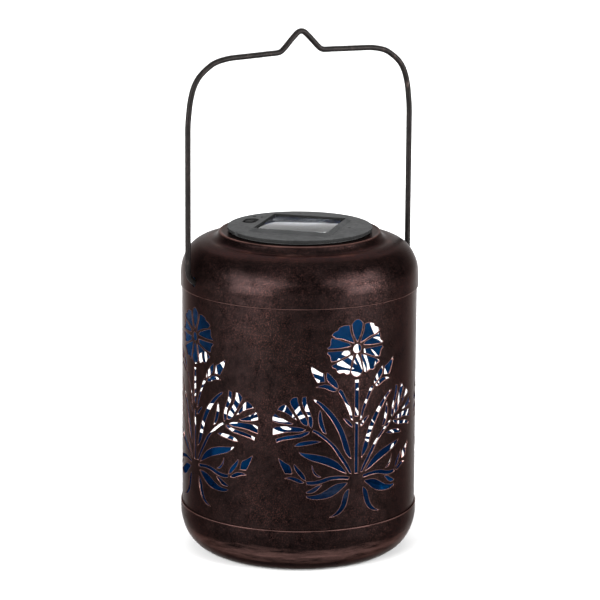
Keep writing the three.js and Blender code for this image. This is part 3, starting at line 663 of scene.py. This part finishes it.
hinge_hole = np.stack([HINGE_HOLE_R * np.sin(turns), at_hinge + HINGE_HOLE_R * np.cos(turns)], 1)
# Copper bands along the lid's profile: real wear on the rim's edge and the ring's crest, and the broad
# band below the ring a painted highlight on the top of the dome.
lid_wear_and_highlight_bands = ((0, 0.8, 1.0), (at_ring + 0.4, 3.2, 0.9), (at_ring - 9, 16, 0.54))  # line, width, strength
lid = pierced_sheet("domed_lid", lid_profile, [hinge_hole], 2, math.pi / 2, [bronze, blue], "shell",
                    DRUM_R, LID_COLUMNS, lid_wear_and_highlight_bands, rim=0.8, hole_wear=0.35)
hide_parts("lid_shell")

pan_line = [(0, 0), (30, 0), (56, 0), (61, 0.15), (64.5, 0.7), (67.5, 1.9), (70.5, 4), (73.2, 6.7),
            (75.6, 10.1), (77.6, 14.2), (79, 18.8), (79.8, 23), (DRUM_R, 26.5), (DRUM_R, PAN_RIM)]
pan_curve = smooth_open(pan_line, 1.0)
pan_curve = np.stack([np.clip(pan_curve[:, 0], 0, DRUM_R), np.maximum(pan_curve[:, 1], 0)], 1)
verts, faces = turned(sheet_loop(pan_curve, SHEET).tolist(), PAN_SEGMENTS)


def pan_wear_and_highlight_at(z):
    """How much copper colour the pan gets at a height: real wear most on the rim, and a painted
    highlight low on the curve.
    """
    if z > PAN_RIM - 0.4:
        return 1.0
    if z > PAN_RIM - 1.3:
        return 0.25
    return max(0.0, 0.72 - abs(z - 13) / 26)


pan_wear_and_highlight = [pan_wear_and_highlight_at(z) for _, _, z in verts]
pan = new_object("bottom_pan_shell", verts, faces, [bronze, blue], "shell", 35, pan_wear_and_highlight)
for polygon in pan.data.polygons:
    centre = polygon.center / MM
    facing_in = polygon.normal.dot(Vector((centre.x, centre.y, centre.z - 60))) < 0
    polygon.material_index = 1 if facing_in and 0.3 < centre.z < PAN_RIM - 0.3 else 0
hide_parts("bottom_pan")

# ---- bail ----
foot_top = HINGE_Z + 8.1
half = []
for i in range(24, -1, -1):  # the foot turns in through the lid's wall by 125 degrees
    a = math.radians(i * 125 / 24)
    half.append((LEG_X - FOOT_R + FOOT_R * math.cos(a), foot_top - FOOT_R * math.sin(a)))
for z in np.arange(foot_top + 8, BAR_Z - 50, 9):
    half.append((LEG_X, z))
for inward, drop in ((0, -46), (0.25, -40), (0.8, -34.5), (1.4, -29.3), (2.4, -24), (4.5, -17.2),
                     (7.6, -11.8), (10.6, -8.6), (14.2, -5.7), (18.2, -3.1), (22.2, -1.6), (26.7, -0.6),
                     (31.2, 0), (42.2, 0.4), (52.2, 0.7), (60, 1)):
    half.append((LEG_X - inward, BAR_Z + drop))
base = BAR_Z + BAR_RISE
for x, rise in ((19, 0), (16.4, 0.3), (14.6, 1.1), (12.8, 2.6), (10.4, 5.1), (8, 7.6), (6, 9.6),
                (4.2, 11.3), (2.4, 12.8), (1.1, 13.35)):
    half.append((x, base + rise))
line = [(x, 0, z) for x, z in [*half, (0, base + HOOK_H), *((-x, z) for x, z in half[::-1])]]
verts, faces = swept(smooth_open(line, 1.2), WIRE_R, WIRE_SIDES)
bail = new_object("wire_bail", verts, faces, [wire_look], "bail", 50)
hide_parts("bail_handle")


# ---- light module ----
def in_module(points):
    """Points of the module's own frame in the row frame."""
    c, s = math.cos(MODULE_TURN), math.sin(MODULE_TURN)
    return [(x * c - y * s, x * s + y * c, z) for x, y, z in points]


def bar_loop(profile, corner, steps=6):
    """A closed square frame from a profile of [half-width, height], with rounded corners."""
    verts, faces, rings = [], [], []
    for half_width, z in profile:
        r = corner * half_width / profile[0][0]
        ring = []
        for quarter in range(4):
            cx, cy = [(1, 1), (-1, 1), (-1, -1), (1, -1)][quarter]
            for i in range(steps + 1):
                a = math.pi / 2 * (quarter + i / steps)
                ring.append(len(verts))
                verts.append((cx * (half_width - r) + r * math.cos(a),
                              cy * (half_width - r) + r * math.sin(a), z))
        rings.append(ring)
    n = len(rings[0])
    for i, low in enumerate(rings):
        high = rings[(i + 1) % len(rings)]
        for k in range(n):
            m = (k + 1) % n
            faces.append([low[k], low[m], high[m], high[k]])
    return verts, faces


def solid(name, verts, faces):
    """A plain mesh object from points in millimetres."""
    mesh = bpy.data.meshes.new(name)
    mesh.from_pydata((np.asarray(verts, float) * MM).tolist(), [], faces)
    obj = bpy.data.objects.new(name, mesh)
    bpy.context.scene.collection.objects.link(obj)
    return obj


def prism(name, outline, z0, z1):
    """An outline in the module's own frame, raised from z0 to z1."""
    n = len(outline)
    verts = [(x, y, z0) for x, y in outline] + [(x, y, z1) for x, y in outline]
    faces = [list(range(n))[::-1], list(range(n, 2 * n))]
    faces += [[i, (i + 1) % n, (i + 1) % n + n, i + n] for i in range(n)]
    return solid(name, in_module(verts), faces)


def round_outline(x, y, radius, count=32):
    turns = [2 * math.pi * i / count for i in range(count)]
    return [(x + radius * math.cos(a), y + radius * math.sin(a)) for a in turns]


def rectangle(x, y, half_width, half_length):
    return [(x - half_width, y - half_length), (x + half_width, y - half_length),
            (x + half_width, y + half_length), (x - half_width, y + half_length)]


def obround(x, y, width, length, steps=16):
    """A rectangle with fully round ends, long in y."""
    r, points = width / 2, []
    for side, shift in ((0, length / 2 - r), (1, r - length / 2)):
        for i in range(steps + 1):
            a = math.pi * (side + i / steps)
            points.append((x + r * math.cos(a), y + shift + r * math.sin(a)))
    return points


def slabs(name, outlines, z0, z1):
    """Flat pieces in one object, each a four-cornered outline in the module's own frame."""
    verts, faces = [], []
    for outline in outlines:
        n = len(verts)
        verts += [(x, y, z) for z in (z0, z1) for x, y in outline]
        faces += [[n + 3, n + 2, n + 1, n], [n + 4, n + 5, n + 6, n + 7]]
        faces += [[n + k, n + (k + 1) % 4, n + 4 + (k + 1) % 4, n + 4 + k] for k in range(4)]
    return solid(name, in_module(verts), faces)


def cut(target, *tools, operation="DIFFERENCE"):
    """Cuts each tool out of the target's mesh, or joins it on, and removes the tool."""
    for tool in tools:
        modifier = target.modifiers.new("cut", "BOOLEAN")
        modifier.operation, modifier.object, modifier.solver = operation, tool, "EXACT"
        settle(target)
        bpy.data.objects.remove(tool)


def settle(obj):
    """Turns an object's modifiers into its mesh."""
    shaped = obj.evaluated_get(bpy.context.evaluated_depsgraph_get())
    mesh = bpy.data.meshes.new_from_object(shaped)
    obj.modifiers.clear()
    obj.data = mesh


def soften(obj, width):
    """Rounds an object's sharp edges by a width in millimetres."""
    bevel = obj.modifiers.new("edges", "BEVEL")
    bevel.width, bevel.segments, bevel.limit_method = width * MM, 2, "ANGLE"
    bevel.angle_limit = math.radians(35)
    settle(obj)


def dress(obj, material, body, bevel=0.0):
    """Soft edges, material and shading for a finished piece: large faces flat, the rest smooth."""
    if bevel:
        soften(obj, bevel)
    mesh = obj.data
    mesh.materials.clear()
    mesh.materials.append(material)
    mesh.polygons.foreach_set("use_smooth", [polygon.area < LARGE_FLAT for polygon in mesh.polygons])
    mesh.set_sharp_from_angle(angle=math.radians(40))
    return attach(obj, body)


disc = prism("top_plate", round_outline(0, 0, DISC_R, 160), DISC_BOTTOM, DISC_TOP)
window = BEZEL_IN / 2
cut(disc, prism("tool", rectangle(0, 0, window, window), DISC_TOP - 1, DISC_TOP + 3),
    prism("tool", obround(*SWITCH_AT, RECESS_WIDTH, RECESS_LENGTH), DISC_BOTTOM + 0.15, DISC_TOP + 2),
    prism("tool", rectangle(*SWITCH_AT, 1.6, 4.3), DISC_BOTTOM - 2, DISC_TOP),
    prism("tool", round_outline(*WIRE_HOLE_AT, 2, 24), DISC_BOTTOM - 1, DISC_TOP + 1),
    prism("tool", round_outline(*LIFT_NOTCH_AT, 5, 40), DISC_BOTTOM - 1, DISC_TOP + 1))
dress(disc, black, "module", bevel=0.3)
disc.data.materials.append(shade_and_mark_look)
recess_at = Vector(in_module([(*SWITCH_AT, 0)])[0][:2]) * MM
# Faces of the switch's recess and of the disc's side, below its top, get the near-black plastic:
# painted shade.
for polygon in disc.data.polygons:
    near = (polygon.center.xy - recess_at).length < RECESS_REACH * MM
    rim = polygon.center.xy.length > (DISC_R - 0.25) * MM
    below = polygon.center.z < (DISC_TOP - 0.35) * MM
    polygon.material_index = 1 if (near or rim) and below else 0
crest = window + 0.8
bezel_top = DISC_TOP + BEZEL_H
frame_verts, frame_faces = bar_loop([
    (BEZEL_OUT / 2, DISC_TOP - 0.2), (BEZEL_OUT / 2, DISC_TOP), (BEZEL_OUT / 2 - 0.2, DISC_TOP + 0.12),
    (crest + 0.3, bezel_top - 0.12), (crest, bezel_top), (window + 0.25, bezel_top),
    (window, bezel_top - 0.25), (window, DISC_TOP - 0.97)], 1.2)
bezel = solid("panel_bezel", in_module(frame_verts), frame_faces)
dress(bezel, black, "module")
bezel.data.materials.append(shade_and_mark_look)
# The frame's inner walls get the near-black plastic: painted shade.
for polygon in bezel.data.polygons:
    inner_face = polygon.center.xy.dot(polygon.normal.xy) < 0 and abs(polygon.normal.z) < 0.5
    polygon.material_index = 1 if inner_face else 0
marks = prism("switch_marks", obround(-32.5, MARK_Y, 1.3, 3.4, 6), DISC_TOP - 0.05, DISC_TOP + 0.16)
cut(marks, prism("tool", round_outline(-37.8, MARK_Y, 1.3, 20), DISC_TOP - 0.05, DISC_TOP + 0.16),
    operation="UNION")
dress(marks, shade_and_mark_look, "module", bevel=0.06)
gate = prism("gate_mark", round_outline(33.3, 4, 0.9, 20), DISC_TOP - 0.05, DISC_TOP + 0.1)
dress(gate, shade_and_mark_look, "module", bevel=0.05)
for index, (x, y) in enumerate(SCREW_POSTS):
    post = prism(f"screw_boss_{index + 1}", round_outline(x, y, 3.2),
                 DISC_BOTTOM - 7, DISC_BOTTOM - 0.02)
    cut(post, prism("tool", round_outline(x, y, 1.15, 20), DISC_BOTTOM - 8, DISC_BOTTOM - 0.6))
    dress(post, black, "module", bevel=0.2)
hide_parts("module_top")

# solar panel: backing, wafer strips and the ribbons that join them
panel_outline = rectangle(0, 0, PANEL_HALF, PANEL_HALF)
plate = prism("panel_backing_plate", panel_outline, PANEL_Z, PANEL_Z + 0.4)
dress(plate, backing, "module", bevel=0.1)
pitch = STRIP_SPAN / STRIPS
strip_outlines = [rectangle(-STRIP_SPAN / 2 + (i + 0.5) * pitch, 0, (pitch - STRIP_GAP) / 2,
                            STRIP_HALF_LENGTH) for i in range(STRIPS)]
wafers = slabs("wafer_strips", strip_outlines, PANEL_Z + 0.42, PANEL_Z + 0.56)
dress(wafers, wafer_look, "module", bevel=0.04)
ribbon = slabs("cell_ribbons", [rectangle(0, y, 24.2, 0.6) for y in (-12, 12)],
               PANEL_Z + 0.57, PANEL_Z + 0.62)
dress(ribbon, ribbon_look, "module")
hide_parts("solar_panel")
cover = prism("panel_cover_sheet", panel_outline, DISC_TOP - 0.1, DISC_TOP + 0.38)
dress(cover, epoxy_look, "module", bevel=0.22)
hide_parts("panel_cover")

# CAD pieces that keep their shape
# The switch knob gets the near-black plastic: painted shade of its recess.
for node, material in {
    "module_cup": black, "battery_cover": black, "switch_knob": shade_and_mark_look, "seal_ring": rubber,
    "switch_case": dark_plastic, "control_chip": dark_plastic, "choke_coil": dark_plastic,
    "circuit_board": board_look, "battery_cell": cell_look, "battery_spring": steel_look,
    "battery_contact": steel_look, "cover_screw_1": steel_look, "cover_screw_2": steel_look,
    "housing_screw_1": steel_look, "housing_screw_2": steel_look, "housing_screw_3": steel_look,
    "led_lamp": lens_look, "panel_wire_red": red_look, "panel_wire_black": rubber,
}.items():
    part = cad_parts[node]
    part.data.materials.clear()
    part.data.materials.append(material)
    part.data.polygons.foreach_set("use_smooth", [True] * len(part.data.polygons))
    part.data.set_sharp_from_angle(angle=math.radians(30))

# ---- stage, light and camera ----
FLOOR_HALF, FLOOR_Z = 9000, -0.05
floor_corners = [(x, y, FLOOR_Z) for x, y in rectangle(0, 0, FLOOR_HALF, FLOOR_HALF)]
floor = solid("floor", floor_corners, [[0, 1, 2, 3]])
floor.data.materials.append(pale_floor())

CAMERA_AZIMUTH = math.radians(-28.9)
CAMERA_ELEVATION = math.radians(13.09)
CAMERA_ROLL = math.radians(0.37)
CAMERA_DISTANCE = 2.18
AIM_HEIGHT, AIM_RIGHT = 0.1698, 0.0004
LIGHT_CENTRE = 0.15
back = Vector((math.sin(CAMERA_AZIMUTH) * math.cos(CAMERA_ELEVATION),
               -math.cos(CAMERA_AZIMUTH) * math.cos(CAMERA_ELEVATION), math.sin(CAMERA_ELEVATION)))
right = Vector((math.cos(CAMERA_AZIMUTH), math.sin(CAMERA_AZIMUTH), 0))
target = Vector((0, 0, AIM_HEIGHT)) + right * AIM_RIGHT
camera_data = bpy.data.cameras.new("camera")
camera_data.lens, camera_data.sensor_width = 194.0, 36.0
camera_data.clip_end = 50
camera = bpy.data.objects.new("camera", camera_data)
bpy.context.scene.collection.objects.link(camera)
camera.rotation_mode = "QUATERNION"
camera.location = target + back * CAMERA_DISTANCE
camera.rotation_quaternion = (-back).to_track_quat("-Z", "Y") @ Quaternion((0, 0, 1), CAMERA_ROLL)
bpy.context.scene.camera = camera


def softbox(name, azimuth, elevation, width, height, power, far=1.8):
    """A large area light aimed at the lantern; azimuth 0 is the camera's side. Metres and watts."""
    a = CAMERA_AZIMUTH + math.radians(azimuth)
    e = math.radians(elevation)
    way = Vector((math.sin(a) * math.cos(e), -math.cos(a) * math.cos(e), math.sin(e)))
    data = bpy.data.lights.new(name, "AREA")
    data.shape, data.size, data.size_y, data.energy = "RECTANGLE", width, height, power
    obj = bpy.data.objects.new(name, data)
    bpy.context.scene.collection.objects.link(obj)
    obj.location = Vector((0, 0, LIGHT_CENTRE)) + way * far
    obj.rotation_mode = "QUATERNION"
    obj.rotation_quaternion = (-way).to_track_quat("-Z", "Y")
    obj.visible_camera = False


softbox("overhead", 0, 84, 2.2, 2.2, 18)
softbox("behind_top", 180, 47, 1.6, 0.9, 20)
softbox("left_low", -46, 4, 1.2, 0.4, 85)
softbox("left_high", -44, 25, 1.9, 0.6, 135)
softbox("right_low", 62, 4, 1.0, 0.4, 85)
softbox("right_high", 58, 25, 1.6, 0.6, 105)

world = bpy.data.worlds.new("studio")
bpy.context.scene.world = world
world.use_nodes = True
nodes, links = world.node_tree.nodes, world.node_tree.links
nodes.clear()


def sky(way, low, high, bright_low, bright_high):
    """World brightness that changes smoothly along one direction."""
    place = nodes.new("ShaderNodeTexCoord")
    facing = nodes.new("ShaderNodeVectorMath")
    facing.operation = "DOT_PRODUCT"
    facing.inputs[1].default_value = way
    links.new(place.outputs["Generated"], facing.inputs[0])
    shade = nodes.new("ShaderNodeMapRange")
    shade.interpolation_type = "SMOOTHSTEP"
    for socket, value in (("From Min", low), ("From Max", high),
                          ("To Min", bright_low), ("To Max", bright_high)):
        shade.inputs[socket].default_value = value
    links.new(facing.outputs["Value"], shade.inputs["Value"])
    return shade.outputs["Result"]


behind = sky(Vector((-back.x, -back.y, 0)).normalized(), 0.4, 0.88, 0.04, 1.1)
above = sky(Vector((0, 0, 1)), 0.25, 0.8, 0.0, 1.3)
brighter = nodes.new("ShaderNodeMath")
brighter.operation = "MAXIMUM"
links.new(behind, brighter.inputs[0])
links.new(above, brighter.inputs[1])
background = nodes.new("ShaderNodeBackground")
background.inputs["Color"].default_value = (1, 1, 1, 1)
links.new(brighter.outputs[0], background.inputs["Strength"])
output = nodes.new("ShaderNodeOutputWorld")
links.new(background.outputs[0], output.inputs["Surface"])
bpy.context.scene.view_settings.view_transform = "Standard"
